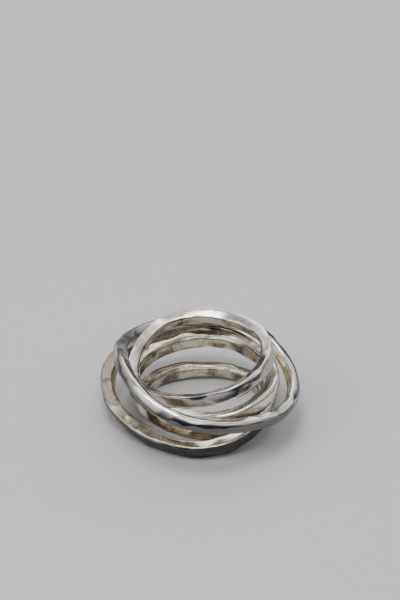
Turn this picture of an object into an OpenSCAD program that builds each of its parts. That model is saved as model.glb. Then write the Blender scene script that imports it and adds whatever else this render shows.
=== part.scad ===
// Hammered ring: five closed loops of heavy hammered wire, lying nested and crossed on a surface.
// Millimetres, Z up. The origin is on the surface, under the middle of the bundle.

/* [Wire] */
// How far a hammer flat stands above or below the mean face
hammer_depth = 0.07; // [0:0.01:0.08]
// How far the outer face is flattened in the middle of each hammer flat
chord_depth = 0.10; // [0:0.01:0.12]
// Hammer flats on each face, once round a loop
flats = 11; // [8:1:13]
// Slow twist of the wire, as a share of each loop's own
twist = 1; // [0:0.1:1]

/* [Wire widths] */
// Top loop, from its inner face to its outer face
top_w = 2.1; // [1.9:0.05:2.15]
// Middle loop
middle_w = 2.25; // [2.1:0.05:2.35]
// Lowest loop
floor_w = 2.2; // [2.0:0.05:2.25]
// Slanting loop
slanting_w = 2.1; // [1.95:0.05:2.15]
// Outer loop
outer_w = 2.25; // [2.0:0.05:2.3]

/* [Wire heights] */
// Top loop, from its lower face to its upper face
top_h = 2.1; // [1.9:0.05:2.15]
// Middle loop
middle_h = 2.4; // [2.1:0.05:2.4]
// Lowest loop
floor_h = 2.3; // [2.1:0.05:2.3]
// Slanting loop
slanting_h = 2.1; // [1.9:0.05:2.15]
// Outer loop
outer_h = 2.2; // [2.0:0.05:2.2]

/* [Loop radii] */
// Mean radius of the loop on top
top_r = 9.9; // [9.85:0.05:9.95]
// Mean radius of the loop under it
middle_r = 10.15; // [10.1:0.05:10.2]
// Mean radius of the innermost, lowest loop
floor_r = 8.75; // [8.65:0.05:8.8]
// Mean radius of the loop that slants across the front
slanting_r = 12.95; // [12.85:0.05:13]
// Mean radius of the loop that lies outermost in front
outer_r = 12.25; // [12.2:0.05:12.35]

/* [Loop heights] */
// Height of the top loop's centre
top_z = 9.6; // [9.5:0.1:9.8]
// Height of the middle loop's centre
middle_z = 6.2; // [6.1:0.1:6.3]
// Height of the lowest loop's centre
floor_z = 1.55; // [1.5:0.05:1.6]
// Height of the slanting loop's centre
slanting_z = 7.9; // [7.8:0.1:8.0]
// Height of the outer loop's centre
outer_z = 3.7; // [3.6:0.05:3.75]

/* [Hidden] */

// Cross-sections round each loop, and faces round each cross-section
stations = 96;
sides = 8;

// The bundle rocks until it lies on three points, and its box is centred on the origin
rock = [0.1, -0.6, 0];
stand = [0.09, 0.62, 0.04];

// Hand-bent shape of each loop. A pair is an amount and a direction round the loop in degrees:
// lean tips the loop's axis that way, oval and egg pull its outline out to two and to three lobes,
// and wave and ripple lift it out of its plane in two and in three places.
// Columns: centre x, y and z, radius, lean, oval, egg, wave, ripple
CX = 0;
CY = 1;
CZ = 2;
RADIUS = 3;
LEAN = 4;
OVAL = 5;
EGG = 6;
WAVE = 7;
RIPPLE = 8;
TOP = [-0.15, -0.65, top_z, top_r, [7, 222], [0.3, 45], [0.2, 0], [0.25, 95], [0.25, 4]];
MIDDLE = [0.45, -0.4, middle_z, middle_r, [5.1, 188], [0.75, 132], [0.25, 72], [0.35, 0], [0.1, 100]];
FLOOR = [0.15, 0.85, floor_z, floor_r, [3.4, 50], [0.35, 22], [0.4, 27], [0.3, 50], [0.15, 105]];
SLANTING = [0.6, -1.3, slanting_z, slanting_r, [9.8, 353], [0.45, 122], [0.45, 3], [1.1, 45], [0.65, 64]];
OUTER = [-1.2, 1.25, outer_z, outer_r, [11.2, 262], [0.3, 105], [0.45, 50], [0.1, 5], [0.1, 40]];

// Section of each loop's wire. Its turn tips the outer face up; the swing adds to that and takes away
// again once round the loop and the twist twice, each an amount and a direction as above.
// Columns: width, height, turn in degrees, swing, twist, how far the four edges are knocked back
// (outer upper, inner upper, inner lower, outer lower), seed of the hammer flats
WIDE = 0;
HIGH = 1;
TURN = 2;
SWING = 3;
TWIST = 4;
CUTS = 5;
SEED = 6;
TOP_WIRE = [top_w, top_h, 18, [0, 0], [4, 315], [0.22, 0.24, 0.34, 0.34], 11];
MIDDLE_WIRE = [middle_w, middle_h, 3, [0, 0], [5, 125], [0.30, 0.26, 0.24, 0.28], 23];
FLOOR_WIRE = [floor_w, floor_h, 8, [0, 0], [5, 25], [0.30, 0.42, 0.30, 0.30], 37];
SLANTING_WIRE = [slanting_w, slanting_h, 6, [26, 200], [7, 90], [0.42, 0.30, 0.36, 0.36], 41];
OUTER_WIRE = [outer_w, outer_h, -4, [0, 0], [5, 125], [0.24, 0.32, 0.30, 0.32], 59];

// Value of a lobed deviation at an angle round the loop
function lobed(pair, lobes, at) = pair[0] * cos(lobes * (at - pair[1]));

// Distance from the loop's axis, and height out of its plane, at an angle round the loop
function reach(row, at) = row[RADIUS] + lobed(row[OVAL], 2, at) + lobed(row[EGG], 3, at);
function lift(row, at) = lobed(row[WAVE], 2, at) + lobed(row[RIPPLE], 3, at);

// The loop's own axes: its leaning axis, and two directions in its plane
function axis_of(row) = [
    sin(row[LEAN][0]) * cos(row[LEAN][1]),
    sin(row[LEAN][0]) * sin(row[LEAN][1]),
    cos(row[LEAN][0])
];
function unit(v) = v / norm(v);
function across_of(up) = unit([1, 0, 0] - up * up[0]);

// How hard each hammer flat of a face was struck, from -1 to 1
function strikes(wire) = [for (face = [0:sides - 1]) rands(-1, 1, flats, wire[SEED] + 7 * face)];

// Mean distance of a face from the wire's centre line: outer, upper, inner and lower face, and the
// knocked-back edge that follows each of them
function mean_distance(wire, face) =
    face % 2 == 1 ? (wire[WIDE] + wire[HIGH]) / sqrt(8) - wire[CUTS][(face - 1) / 2]
    : face % 4 == 0 ? wire[WIDE] / 2
    : wire[HIGH] / 2;

// Distance of one face from the wire's centre line: flat to flat, the faces out of step with each other
function face_distance(wire, hits, face, at) =
    let (
        along = at / 360 * flats + 0.37 * face,
        flat_at = floor(along),
        part_way = along - flat_at,
        here = hits[face][(flat_at + flats) % flats],
        next = hits[face][(flat_at + 1 + flats) % flats],
        hollow = face == 0 ? chord_depth * 4 * part_way * (1 - part_way) : 0
    )
    mean_distance(wire, face) + hammer_depth * (here * (1 - part_way) + next * part_way) - hollow;

// Corner where two neighbouring faces of the wire meet, as distance outwards and height
function corner(wire, hits, face, at) =
    let (
        step = 360 / sides,
        turn = wire[TURN] + twist * (lobed(wire[SWING], 1, at) + lobed(wire[TWIST], 2, at)),
        a = step * face + turn,
        b = a + step,
        da = face_distance(wire, hits, face, at),
        db = face_distance(wire, hits, (face + 1) % sides, at)
    )
    [(da * sin(b) - db * sin(a)) / sin(step), (db * cos(a) - da * cos(b)) / sin(step)];

// All corners of one loop, one cross-section after another
function loop_points(row, wire) =
    let (
        hits = strikes(wire),
        up = axis_of(row),
        across = across_of(up),
        along = cross(up, across),
        centre = [row[CX], row[CY], row[CZ]]
    )
    [
        for (i = [0:stations - 1])
            let (at = 360 * i / stations, outwards = cos(at) * across + sin(at) * along)
                for (face = [0:sides - 1])
                    let (c = corner(wire, hits, face, at))
                        centre + (reach(row, at) + c[0]) * outwards + (lift(row, at) + c[1]) * up
    ];

// Two triangles for each patch between neighbouring cross-sections
function loop_faces() = [
    for (i = [0:stations - 1], j = [0:sides - 1])
        let (
            p = i * sides + j,
            q = i * sides + (j + 1) % sides,
            r = ((i + 1) % stations) * sides + (j + 1) % sides,
            s = ((i + 1) % stations) * sides + j
        )
            each [[p, q, r], [p, r, s]]
];

// One closed loop of hammered wire
module wire_loop(row, wire) {
    translate(stand)
        rotate(rock)
            polyhedron(points = loop_points(row, wire), faces = loop_faces(), convexity = 6);
}

module top_loop() {
    color("gainsboro") wire_loop(TOP, TOP_WIRE);
}

module middle_loop() {
    color("lightgray") wire_loop(MIDDLE, MIDDLE_WIRE);
}

module floor_loop() {
    color("silver") wire_loop(FLOOR, FLOOR_WIRE);
}

module slanting_loop() {
    color("whitesmoke") wire_loop(SLANTING, SLANTING_WIRE);
}

module outer_loop() {
    color("silver") wire_loop(OUTER, OUTER_WIRE);
}

top_loop();
middle_loop();
floor_loop();
slanting_loop();
outer_loop();
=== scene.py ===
"""Hammered ring: the looks of its five loops of polished wire, its stage and its camera."""

import math
from typing import NamedTuple

import bmesh
import bpy
from bpy.props import FloatProperty, FloatVectorProperty, PointerProperty
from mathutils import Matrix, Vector, noise
from mathutils.bvhtree import BVHTree


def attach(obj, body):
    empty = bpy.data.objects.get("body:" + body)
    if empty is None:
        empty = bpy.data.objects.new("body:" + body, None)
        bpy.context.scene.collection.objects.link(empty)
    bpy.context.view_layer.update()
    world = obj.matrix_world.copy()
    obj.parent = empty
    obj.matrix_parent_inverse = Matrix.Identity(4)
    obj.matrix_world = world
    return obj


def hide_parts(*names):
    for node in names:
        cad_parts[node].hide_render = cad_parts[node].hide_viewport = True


bl_info = {
    "name": "Hammered Ring",
    "version": (1, 0, 0),
    "blender": (4, 5, 0),
    "location": "View3D > Sidebar > Hammered Ring",
    "description": "Dresses a ring of hammered wire loops and sets up its stage",
    "category": "Object",
}

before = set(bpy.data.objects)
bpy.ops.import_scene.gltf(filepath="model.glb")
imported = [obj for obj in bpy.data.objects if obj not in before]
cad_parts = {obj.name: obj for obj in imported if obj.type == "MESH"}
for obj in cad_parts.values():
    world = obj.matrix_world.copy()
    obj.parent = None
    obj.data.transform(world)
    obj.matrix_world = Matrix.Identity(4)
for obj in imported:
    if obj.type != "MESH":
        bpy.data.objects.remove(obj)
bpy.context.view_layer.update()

MM = 0.001


class Wire(NamedTuple):
    """Finish of one loop's wire, with the painted reflection and shade on it. Apart from the first two
    values, 1 is the full effect
    """

    pattern: int  # Moves the clouds and the hammer marks, so that no two loops have the same
    rounding: float  # Width of its rounded edges, in edge softnesses
    warm_reflection: float  # Painted warm reflection on its outer faces too
    shade_and_stain: float  # Painted dark reflection of the ground on its lower outer faces
    dulling_and_shade: float  # Rougher place at its back left, with painted shade


INNER_LOOPS = {
    "top_loop": Wire(pattern=1, rounding=1.6, warm_reflection=0.22, shade_and_stain=0.5, dulling_and_shade=0.4),
    "middle_loop": Wire(pattern=2, rounding=1.3, warm_reflection=0.5, shade_and_stain=0.05, dulling_and_shade=0.1),
    "floor_loop": Wire(pattern=3, rounding=1.3, warm_reflection=0.6, shade_and_stain=0.1, dulling_and_shade=0.1),
}
OUTER_LOOPS = {
    "slanting_loop": Wire(pattern=4, rounding=1.0, warm_reflection=0.0, shade_and_stain=0.9, dulling_and_shade=0.9),
    "outer_loop": Wire(pattern=5, rounding=1.0, warm_reflection=0.6, shade_and_stain=0.97, dulling_and_shade=1.1),
}

# The smooth wire under the hammer marks
MERGE = 0.001 * MM  # Corners of the node's triangles this close are one corner
ALONG_THE_WIRE = 0.7  # Edges that run at least this much along the wire are rounded
SMOOTHINGS = 2  # Subdivisions after that
MIDDLE_POINTS = 32  # Points on the middle of the wire, once round a loop

# One hammer mark, in units of the distance between marks
BOWL_RISE = 2.2  # Rise of its bowl from the middle to the rim
BOWL_DEPTH = 0.5  # Depth of the middle
DEPTH_SPREAD = 0.4  # How much the depth differs from mark to mark
SLANT_SPREAD = 0.7  # How much the slant does
DEPTH_DRAW = 7  # Where in the noise each mark's depth is drawn
SLANT_DRAW = 5  # Where in it the slant is
MARK_LOWEST = -1.2  # The marks are cut off below this height
MARK_HIGHEST = 0.5  # And above this one, which is the wire's own surface

# All the marks on a loop
DRAWN_OUT = 1.7  # How much longer they are along the wire than across it
CRISP_OUTSIDE = 12  # How sharply they meet on the outer faces
CRISP_LOST_INSIDE = 7  # How much less sharply on the inner faces

# What moves from one loop's pattern to the next
MARKS_STEP = Vector((17.3, 5.1, 9.7))  # The hammer marks, by so many marks
CLOUDS_STEP = (0.013, 0.007, 0.003)  # The clouds, by so many metres

# Lower outer faces get a painted dark reflection of the ground
# A face is a lower outer one by how far it looks outwards, less how far it looks up
OUTWARD_SHARE = 0.9  # Weight of looking outwards
LOWER_START = 0.1  # Where it starts, below an even balance of the two
LOWER_SPAN = 0.6  # How much further it counts in full

# Painted shade, painted warm reflection and roughness that gather in places
CREVICE_REACH = 1.1 * MM  # Distance to the next loop at which the painted shade in the crevices starts
CREVICE_POWER = 1.5  # Power by which it darkens towards that loop
WARM_REFLECTION_LEAN = 0.6  # How far the painted warm reflection leans to the left
DULL_SHADED_SIDE = Vector((-0.87, 0.5, 0))  # Direction of the rougher place with painted shade, the back left
DULL_SHADE_POWER = 2  # Power by which it gathers there
DULL_SHADE = 0.6  # Share of painted shade in it

# Patterns in the silver, in repeats a metre
CLOUDS_SCALE = 420
BLOTS_SCALE = 430
GRAIN_SCALE = 3200

# Polishing streaks, in repeats to the radius of a circle
STREAKS_ACROSS = 11  # The circle that stands for the wire's section
STREAKS_ALONG = 5  # The circle that stands for the way round the loop

# How strongly the silver answers
WARMTH_SHARE = 0.8  # Painted warm reflection on a face that looks straight inwards
PATCH_POWER = 2  # Power by which patches gather on the inner faces
DULL_ROUGHNESS = 0.18  # Roughness that a dull place adds

# The floor and the soft light overhead
FLOOR_REACH = 1.5  # How far the floor reaches each way, in metres
TOP_LIGHT_PLACE = Vector((-0.04, -0.02, 0.42))
TOP_LIGHT_WIDE = 0.16  # Each way

# Brightness of the room from the horizon behind, over the top, to the horizon in front, and from its
# middle to its sides. Columns: place from 0 to 1, brightness from 0 to 1
OVERHEAD = (
    (0.00, 0.01),
    (0.11, 0.02),
    (0.20, 0.70),
    (0.26, 1.00),
    (0.37, 0.22),
    (0.47, 1.00),
    (0.56, 0.85),
    (0.66, 0.20),
    (0.74, 0.60),
    (0.84, 0.02),
    (1.00, 0.01),
)
SIDEWAYS = ((0.00, 1.00), (0.22, 0.95), (0.40, 0.38), (0.60, 0.48), (0.82, 0.22), (1.00, 0.16))

WINDOW = Vector((-0.85, -0.25, 0.46)).normalized()  # Direction of a soft window at the left
ROOM_DARK = (0.008, 0.010, 0.020, 1)
ROOM_LIT = (1.0, 1.0, 0.99, 1)

# The camera and the photograph's frame
LOOK_AT = Vector((0, 0, 6 * MM))  # Point of the ring that stands midway across the frame
LOOK_DOWN = 379  # How far down it stands, in pixels
FRAME_HIGH = 600  # The frame's height, in pixels
SENSOR_LONG_SIDE = 36  # Spans that height, in millimetres


class RingFinish(bpy.types.PropertyGroup):
    """Surface of the hammered wire"""

    silver: FloatVectorProperty(
        name="Silver",
        description="Colour of the polished faces",
        subtype="COLOR",
        size=3,
        min=0,
        max=1,
        default=(0.91, 0.885, 0.84),
    )
    # Colour of the painted warm reflection on the inner faces
    warm: FloatVectorProperty(
        name="Warm silver",
        description="Colour of the satin inner faces",
        subtype="COLOR",
        size=3,
        min=0,
        max=1,
        default=(0.72, 0.60, 0.44),
    )
    # Dark colour of the painted shade: the painted dark reflection on the lower outer faces and the shade
    # in the crevices and at the back left; also of the stains in patches on the inner faces
    shade_and_stain: FloatVectorProperty(
        name="Shade_and_stain",
        description="Colour of the lower outer faces, the crevices and the patches on the inner faces",
        subtype="COLOR",
        size=3,
        min=0,
        max=1,
        default=(0.025, 0.026, 0.03),
    )
    soften: FloatProperty(
        name="Edge softness",
        description="Width of the rounding on the edges of the wire, before each loop's own share",
        subtype="DISTANCE",
        unit="LENGTH",
        min=0.00002,
        max=0.0004,
        default=0.00017,
    )
    dent_size: FloatProperty(
        name="Dent size",
        description="Distance between neighbouring hammer dents",
        subtype="DISTANCE",
        unit="LENGTH",
        min=0.0005,
        max=0.005,
        default=0.0017,
    )
    dent_depth: FloatProperty(
        name="Dent depth",
        description="Depth of a hammer dent. The deepest go down 1.7 times as far",
        subtype="DISTANCE",
        unit="LENGTH",
        min=0,
        max=0.0002,
        default=0.0001,
    )
    blow_size: FloatProperty(
        name="Blow size",
        description="Distance between the broad flats that the heavy blows leave",
        subtype="DISTANCE",
        unit="LENGTH",
        min=0.001,
        max=0.01,
        default=0.0034,
    )
    blow_depth: FloatProperty(
        name="Blow depth",
        description="Depth of a broad flat. The deepest go down 1.7 times as far",
        subtype="DISTANCE",
        unit="LENGTH",
        min=0,
        max=0.0002,
        default=0.00011,
    )


class RingStage(bpy.types.PropertyGroup):
    """Floor, lights and camera"""

    floor_colour: FloatVectorProperty(
        name="Floor",
        description="Colour of the pale floor",
        subtype="COLOR",
        size=3,
        min=0,
        max=1,
        default=(0.74, 0.74, 0.75),
    )
    elevation: FloatProperty(
        name="Camera elevation",
        description="How far above the surface the camera stands",
        subtype="ANGLE",
        unit="ROTATION",
        min=math.radians(5),
        max=math.radians(85),
        default=math.radians(34),
    )
    distance: FloatProperty(
        name="Camera distance",
        description="Distance from the camera to the middle of the ring",
        subtype="DISTANCE",
        unit="LENGTH",
        min=0.1,
        max=1,
        default=0.317,
    )
    pixels_per_mm: FloatProperty(
        name="Pixels per millimetre",
        description="Scale of the picture at the middle of the ring",
        min=1,
        max=20,
        default=6.9,
    )
    top_power: FloatProperty(
        name="Top light",
        description="Power of the soft light overhead",
        unit="POWER",
        min=0,
        max=100,
        default=0.40,
    )
    room_strength: FloatProperty(
        name="Room light",
        description="Brightness of the bands of light round the room",
        min=0,
        max=10,
        default=2.25,
    )


def empty_tree(owner):
    """Clears the nodes of a material or of the world, and gives the function that adds nodes there.

    That function takes the kind of node, its inputs by name or number, each the output that feeds it or a
    plain value, and its settings.
    """
    owner.use_nodes = True
    tree = owner.node_tree
    tree.nodes.clear()

    def add(kind, inputs=None, **settings):
        node = tree.nodes.new(kind)
        for name, setting in settings.items():
            setattr(node, name, setting)
        for name, source in (inputs or {}).items():
            if isinstance(source, bpy.types.NodeSocket):
                tree.links.new(source, node.inputs[name])
            else:
                node.inputs[name].default_value = source
        return node

    return add


def reckoned(add, operation, *values, use_clamp=True):
    """Result of one step of arithmetic on one to three values, kept from 0 to 1 unless told otherwise."""
    inputs = dict(enumerate(values))
    return add("ShaderNodeMath", inputs, operation=operation, use_clamp=use_clamp).outputs[0]


def ranged(add, value, low, high, least, most, **settings):
    """A value spread so that low becomes least and high becomes most, and cut off there."""
    inputs = {"Value": value, "From Min": low, "From Max": high, "To Min": least, "To Max": most}
    return add("ShaderNodeMapRange", inputs, **settings).outputs["Result"]


def mixed(add, share, first, second):
    """Colour between two colours, by the share of the second."""
    factor, colour_a, colour_b, colour_out = 0, 6, 7, 2
    inputs = {factor: share, colour_a: first, colour_b: second}
    return add("ShaderNodeMix", inputs, data_type="RGBA", clamp_factor=True).outputs[colour_out]


def polished_silver(finish, wire, name):
    """Polished, hammered silver: bright on top, painted warm reflection inside, painted shade on the
    lower outer faces, in crevices and at the back left.
    """
    material = bpy.data.materials.new(name)
    add = empty_tree(material)

    # Clouds, blots and a fine grain lie in the metal
    place = add("ShaderNodeTexCoord").outputs["Object"]
    shift = [step * wire.pattern for step in CLOUDS_STEP]
    moved = add("ShaderNodeMapping", {"Vector": place, "Location": shift}).outputs["Vector"]

    def cloudy(scale, detail, distortion=0):
        inputs = {"Vector": moved, "Scale": scale, "Detail": detail, "Roughness": 0.6}
        inputs["Distortion"] = distortion
        return add("ShaderNodeTexNoise", inputs).outputs["Fac"]

    clouds = cloudy(CLOUDS_SCALE, detail=5)
    blots = cloudy(BLOTS_SCALE, detail=4, distortion=0.4)
    grain = cloudy(GRAIN_SCALE, detail=3)

    # Polishing streaks follow the wire: its section and its way round, as points on two circles
    circles = add("ShaderNodeAttribute", attribute_name="wire").outputs
    inputs = {"Vector": circles["Vector"], "Scale": (STREAKS_ACROSS, STREAKS_ACROSS, STREAKS_ALONG)}
    stretched = add("ShaderNodeMapping", inputs).outputs["Vector"]
    onwards = reckoned(add, "MULTIPLY", circles["Alpha"], STREAKS_ALONG, use_clamp=False)
    inputs = {"Vector": stretched, "W": onwards, "Scale": 1, "Detail": 4, "Roughness": 0.6}
    streaks = add("ShaderNodeTexNoise", inputs, noise_dimensions="4D").outputs["Fac"]

    # What gathers where: red is painted warm reflection, green painted dark reflection on the lower outer
    # faces, blue painted shade in the crevices and alpha the rougher back left with painted shade
    side = add("ShaderNodeAttribute", attribute_name="side").outputs
    gathered = add("ShaderNodeSeparateColor", {"Color": side["Color"]}).outputs

    # Painted warm reflection grows inwards, with clouds in it
    mottled = ranged(add, clouds, low=0.35, high=0.65, least=-0.25, most=0.25)
    warmth = reckoned(add, "MULTIPLY_ADD", gathered["Red"], WARMTH_SHARE, mottled)
    warmed = mixed(add, warmth, (*finish.silver, 1), (*finish.warm, 1))

    # Painted shade darkens the lower outer faces, as a dark reflection of the ground, and the crevices;
    # stains lie in patches on the inner faces
    patches = ranged(
        add, blots, low=0.42, high=0.68, least=0, most=0.85, interpolation_type="SMOOTHSTEP"
    )
    inside = reckoned(add, "POWER", gathered["Red"], PATCH_POWER)
    stained = reckoned(add, "MULTIPLY", patches, inside)
    uneven = ranged(add, streaks, low=0.35, high=0.65, least=0.88, most=1)
    streaked_dark_reflection = reckoned(add, "MULTIPLY", gathered["Green"], uneven)
    painted_shade = reckoned(add, "MAXIMUM", streaked_dark_reflection, gathered["Blue"])
    shaded_and_stained = reckoned(add, "MAXIMUM", painted_shade, stained)
    colour = mixed(add, shaded_and_stained, warmed, (*finish.shade_and_stain, 1))

    # Streaks scatter the gloss, and a dull place has less of it
    scattered = ranged(add, streaks, low=0.3, high=0.7, least=0.10, most=0.22)
    roughness = reckoned(add, "MULTIPLY_ADD", side["Alpha"], DULL_ROUGHNESS, scattered)

    # Streaks stand up from the surface by about a hundredth of a millimetre, and the grain by less
    inputs = {"Height": streaks, "Strength": 0.7, "Distance": 0.014 * MM}
    scored = add("ShaderNodeBump", inputs).outputs["Normal"]
    inputs = {"Height": grain, "Strength": 0.2, "Distance": 0.008 * MM, "Normal": scored}
    grained = add("ShaderNodeBump", inputs).outputs["Normal"]

    inputs = {"Base Color": colour, "Metallic": 1, "Roughness": roughness, "Normal": grained}
    silver = add("ShaderNodeBsdfPrincipled", inputs).outputs["BSDF"]
    add("ShaderNodeOutputMaterial", {"Surface": silver})
    return material


def quads_of(node):
    """The wire's own faces as quads: a copy of the node's mesh, merged, without its diagonals."""
    bm = bmesh.new()
    bm.from_mesh(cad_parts[node].data)
    bmesh.ops.remove_doubles(bm, verts=bm.verts, dist=MERGE)
    diagonals = [
        e
        for e in bm.edges
        if all(e.calc_length() >= max(o.calc_length() for o in f.edges) for f in e.link_faces)
    ]
    bmesh.ops.dissolve_edges(bm, edges=diagonals, use_verts=False, use_face_split=False)
    return bm


def middle_and_axis(bm):
    """Middle of a loop, and the direction its plane faces, upwards."""
    middle = sum((v.co for v in bm.verts), Vector()) / len(bm.verts)
    axis = Vector()
    in_turn = sorted(bm.verts, key=lambda v: math.atan2(v.co.y - middle.y, v.co.x - middle.x))
    for a, b in zip(in_turn, in_turn[1:] + in_turn[:1]):
        axis += (a.co - middle).cross(b.co - middle)
    return middle, axis.normalized()


def softened_wire(node, width):
    """Smooth mesh of a loop's wire, its edges rounded to a width, with the loop's middle and axis."""
    bm = quads_of(node)
    middle, axis = middle_and_axis(bm)

    def runs_along(edge):
        mid = (edge.verts[0].co + edge.verts[1].co) / 2 - middle
        run = (edge.verts[1].co - edge.verts[0].co).normalized()
        return abs(run.dot(axis.cross(mid).normalized())) > ALONG_THE_WIRE

    bmesh.ops.bevel(
        bm,
        geom=[e for e in bm.edges if runs_along(e)],
        offset=width,
        affect="EDGES",
        segments=1,
        profile=0.5,
        material=-1,
        clamp_overlap=True,
    )
    mesh = bpy.data.meshes.new(node + "_base")
    bm.to_mesh(mesh)
    bm.free()
    base = bpy.data.objects.new(node + "_base", mesh)
    bpy.context.collection.objects.link(base)
    smooth = base.modifiers.new("Rounding", "SUBSURF")
    smooth.levels = smooth.render_levels = SMOOTHINGS
    bpy.context.view_layer.update()

    bm = bmesh.new()
    bm.from_object(base, bpy.context.evaluated_depsgraph_get())
    bpy.data.objects.remove(base)
    bm.normal_update()
    return bm, middle, axis


def middle_line(bm, middle, axis):
    """Two directions in a loop's plane, and points on the middle of the wire all the way round."""
    across = axis.orthogonal().normalized()
    ahead = axis.cross(across)
    sums = [[Vector(), 0] for _ in range(MIDDLE_POINTS)]
    for v in bm.verts:
        flat = v.co - middle
        turns = math.atan2(flat.dot(ahead), flat.dot(across)) / math.tau
        place = sums[round(turns * MIDDLE_POINTS) % MIDDLE_POINTS]
        place[0] += v.co
        place[1] += 1
    return across, ahead, [total / count for total, count in sums]


def between(line, turn):
    """Point on the middle of the wire at an angle round the loop."""
    at = turn / math.tau * len(line)
    low = math.floor(at)
    return line[low % len(line)].lerp(line[(low + 1) % len(line)], at - low)


def other_loops(node):
    """Search tree over the faces of all the loops but one."""
    places, faces = [], []
    for name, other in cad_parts.items():
        if name != node:
            start = len(places)
            places += [v.co.copy() for v in other.data.vertices]
            faces += [[start + i for i in p.vertices] for p in other.data.polygons]
    return BVHTree.FromPolygons(places, faces)


def struck(place, size, away, crisp):
    """Height of the hammer marks at a place: 0 between them, down to -1.7 in the deepest."""
    here = place / size + away
    near = 0.0
    for off, centre in zip(*noise.voronoi(here)):
        deeper = DEPTH_SPREAD * noise.cell(centre * DEPTH_DRAW)
        slant = SLANT_SPREAD * noise.cell_vector(centre * SLANT_DRAW).dot(here - centre)
        mark = BOWL_RISE * off * off - BOWL_DEPTH - deeper + slant
        near += math.exp(-crisp * mark)
    return max(MARK_LOWEST, min(MARK_HIGHEST, -math.log(near) / crisp)) - MARK_HIGHEST


def gathered_at(v, out, inward, wire, others):
    """Painted warm reflection, painted dark reflection on the lower outer faces, painted shade in the
    crevices, and the rougher back left with painted shade, of the wire at a vertex.
    """
    # Lower outer faces get a painted dark reflection of the ground
    looks_down = OUTWARD_SHARE * v.normal.dot(out) - v.normal.z
    lower = min(1.0, max(0.0, (looks_down + LOWER_START) / LOWER_SPAN))
    # Faces that look at another loop close by get painted shade in the crevices
    found, _, _, gap = others.find_nearest(v.co, CREVICE_REACH)
    crevice_shade = 0.0
    if found is not None and gap > 0:
        facing = max(0.0, (found - v.co).normalized().dot(v.normal))
        crevice_shade = facing * (1 - gap / CREVICE_REACH) ** CREVICE_POWER
    # Painted warm reflection, more on the left
    warm_reflection = wire.warm_reflection * (1 - WARM_REFLECTION_LEAN * out.x)
    # The back left is rougher and gets painted shade
    dull_and_shaded = wire.dulling_and_shade * max(0.0, out.dot(DULL_SHADED_SIDE)) ** DULL_SHADE_POWER
    return max(warm_reflection, inward), max(wire.shade_and_stain * lower, DULL_SHADE * dull_and_shaded), crevice_shade, dull_and_shaded


def hammered_loop(node, wire, finish):
    """One loop of the ring, with softened edges and hammer marks, standing for its CAD node."""
    bm, middle, axis = softened_wire(node, finish.soften * wire.rounding)
    across, ahead, line = middle_line(bm, middle, axis)
    others = other_loops(node)
    away = MARKS_STEP * wire.pattern
    side_layer = bm.verts.layers.float_color.new("side")
    wire_layer = bm.verts.layers.float_color.new("wire")
    moves = []
    for v in bm.verts:
        flat = v.co - middle
        turn = math.atan2(flat.dot(ahead), flat.dot(across))
        out = across * math.cos(turn) + ahead * math.sin(turn)
        from_line = v.co - between(line, turn)
        round_it = math.atan2(from_line.dot(axis), from_line.dot(out))
        v[wire_layer] = (math.cos(round_it), math.sin(round_it), math.cos(turn), math.sin(turn))
        inward = max(0.0, -v.normal.dot(out))
        v[side_layer] = gathered_at(v, out, inward, wire, others)

        place = from_line + (v.co - from_line - middle) / DRAWN_OUT
        crisp = CRISP_OUTSIDE - CRISP_LOST_INSIDE * inward
        dent = struck(place, finish.dent_size, away, crisp) * finish.dent_depth
        blow = struck(place, finish.blow_size, away, crisp) * finish.blow_depth
        moves.append(v.normal * (dent + blow))
    for v, move in zip(bm.verts, moves):
        v.co += move
    for f in bm.faces:
        f.smooth = True

    mesh = bpy.data.meshes.new(node + "_hammered")
    bm.to_mesh(mesh)
    bm.free()
    mesh.materials.append(polished_silver(finish, wire, node + " silver"))
    piece = bpy.data.objects.new(node + "_hammered", mesh)
    bpy.context.collection.objects.link(piece)
    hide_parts(node)
    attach(piece, "root")


class RING_OT_inner_loops(bpy.types.Operator):
    """Adds the three loops that sit round the finger: top, middle and floor"""

    bl_idname = "hammered_ring.inner_loops"
    bl_label = "Inner Loops"

    def execute(self, context):
        for node, wire in INNER_LOOPS.items():
            hammered_loop(node, wire, context.scene.ring_finish)
        return {"FINISHED"}


class RING_OT_outer_loops(bpy.types.Operator):
    """Adds the two large loops that lie round the others"""

    bl_idname = "hammered_ring.outer_loops"
    bl_label = "Outer Loops"

    def execute(self, context):
        for node, wire in OUTER_LOOPS.items():
            hammered_loop(node, wire, context.scene.ring_finish)
        return {"FINISHED"}


def pale_floor(stage):
    """A wide plain floor under the ring."""
    bm = bmesh.new()
    bmesh.ops.create_grid(bm, x_segments=1, y_segments=1, size=FLOOR_REACH)
    mesh = bpy.data.meshes.new("floor")
    bm.to_mesh(mesh)
    bm.free()
    floor = bpy.data.objects.new("floor", mesh)
    bpy.context.collection.objects.link(floor)
    material = bpy.data.materials.new("pale floor")
    add = empty_tree(material)
    matt = {"Base Color": (*stage.floor_colour, 1), "Roughness": 0.75}
    surface = add("ShaderNodeBsdfPrincipled", matt).outputs["BSDF"]
    add("ShaderNodeOutputMaterial", {"Surface": surface})
    mesh.materials.append(material)


def top_light(stage):
    """A square soft light overhead, turned to the middle of the floor."""
    data = bpy.data.lights.new("top light", "AREA")
    data.shape = "RECTANGLE"
    data.size = data.size_y = TOP_LIGHT_WIDE
    data.energy = stage.top_power
    lamp = bpy.data.objects.new("top light", data)
    lamp.location = TOP_LIGHT_PLACE
    lamp.rotation_euler = (-TOP_LIGHT_PLACE).to_track_quat("-Z", "Y").to_euler()
    bpy.context.collection.objects.link(lamp)


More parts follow.
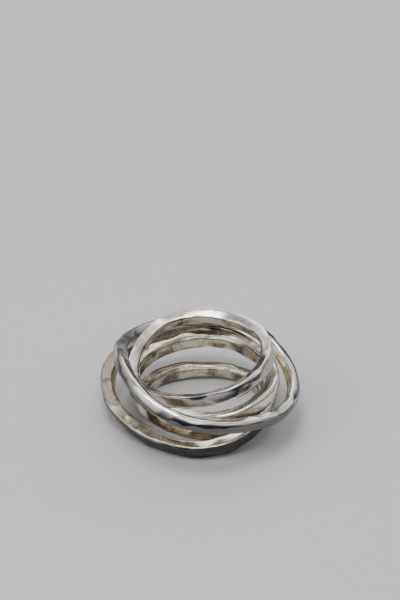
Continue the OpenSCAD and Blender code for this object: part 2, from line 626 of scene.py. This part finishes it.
def studio_world(stage):
    """Dark room with soft bands of light from behind to overhead, and a weaker window at the left."""
    world = bpy.data.worlds.new("studio")
    bpy.context.scene.world = world
    add = empty_tree(world)

    def bands(place, rows):
        ramp = add("ShaderNodeValToRGB", {"Fac": place})
        ramp.color_ramp.interpolation = "EASE"
        stops = ramp.color_ramp.elements
        while len(stops) < len(rows):
            stops.new(0.5)
        for stop, (at, level) in zip(stops, rows):
            stop.position = at
            stop.color = (level, level, level, 1)
        return ramp.outputs["Color"]

    look = add("ShaderNodeTexCoord").outputs["Generated"]
    along = add("ShaderNodeSeparateXYZ", {"Vector": look}).outputs
    swing = reckoned(add, "ARCTAN2", along["Z"], along["Y"], use_clamp=False)
    half_turns = reckoned(add, "MULTIPLY", swing, 1 / math.pi, use_clamp=False)
    sideways = reckoned(add, "ABSOLUTE", along["X"], use_clamp=False)
    over = bands(half_turns, OVERHEAD)
    aside = bands(sideways, SIDEWAYS)
    arch = reckoned(add, "MULTIPLY", over, aside, use_clamp=False)
    towards = add("ShaderNodeVectorMath", {0: look, 1: WINDOW}, operation="DOT_PRODUCT").outputs
    window = ranged(
        add,
        towards["Value"],
        low=0.80,
        high=0.97,
        least=0,
        most=0.5,
        interpolation_type="SMOOTHSTEP",
    )
    lights = reckoned(add, "ADD", arch, window, use_clamp=False)
    room = mixed(add, lights, ROOM_DARK, ROOM_LIT)
    inputs = {"Color": room, "Strength": stage.room_strength}
    sky = add("ShaderNodeBackground", inputs).outputs["Background"]
    add("ShaderNodeOutputWorld", {"Surface": sky})


def photo_camera(stage):
    """Camera at the photograph's angle, with the ring as low in the frame as there."""
    data = bpy.data.cameras.new("camera")
    focal_pixels = stage.pixels_per_mm * stage.distance / MM
    data.sensor_width = SENSOR_LONG_SIDE
    data.lens = focal_pixels / FRAME_HIGH * data.sensor_width
    data.clip_start = 0.01
    data.clip_end = 10
    camera = bpy.data.objects.new("camera", data)
    towards = Vector((0, -math.cos(stage.elevation), math.sin(stage.elevation)))
    camera.location = LOOK_AT + stage.distance * towards
    raised = math.atan((LOOK_DOWN - FRAME_HIGH / 2) / focal_pixels)
    camera.rotation_euler = (math.pi / 2 - stage.elevation + raised, 0, 0)
    bpy.context.collection.objects.link(camera)
    bpy.context.scene.camera = camera


class RING_OT_stage(bpy.types.Operator):
    """Adds the pale floor, the soft light, the room and the camera"""

    bl_idname = "hammered_ring.stage"
    bl_label = "Stage"

    def execute(self, context):
        stage = context.scene.ring_stage
        pale_floor(stage)
        studio_world(stage)
        top_light(stage)
        photo_camera(stage)
        return {"FINISHED"}


class RING_PT_panel(bpy.types.Panel):
    """Sizes, finishes and pieces of the ring"""

    bl_idname = "RING_PT_panel"
    bl_label = "Hammered Ring"
    bl_space_type = "VIEW_3D"
    bl_region_type = "UI"
    bl_category = "Hammered Ring"

    def draw(self, context):
        column = self.layout.column()
        for group in (context.scene.ring_finish, context.scene.ring_stage):
            for name in group.__annotations__:
                column.prop(group, name)
        for operator in (RING_OT_inner_loops, RING_OT_outer_loops, RING_OT_stage):
            column.operator(operator.bl_idname)


CLASSES = (
    RingFinish,
    RingStage,
    RING_OT_inner_loops,
    RING_OT_outer_loops,
    RING_OT_stage,
    RING_PT_panel,
)


def register():
    """Adds the classes and the ring's properties."""
    for cls in CLASSES:
        bpy.utils.register_class(cls)
    bpy.types.Scene.ring_finish = PointerProperty(type=RingFinish)
    bpy.types.Scene.ring_stage = PointerProperty(type=RingStage)


def unregister():
    """Removes them again."""
    del bpy.types.Scene.ring_stage
    del bpy.types.Scene.ring_finish
    for cls in reversed(CLASSES):
        bpy.utils.unregister_class(cls)


def main():
    """Builds the ring and its stage."""
    register()
    bpy.ops.hammered_ring.inner_loops()
    bpy.ops.hammered_ring.outer_loops()
    bpy.ops.hammered_ring.stage()


if __name__ == "__main__":
    main()
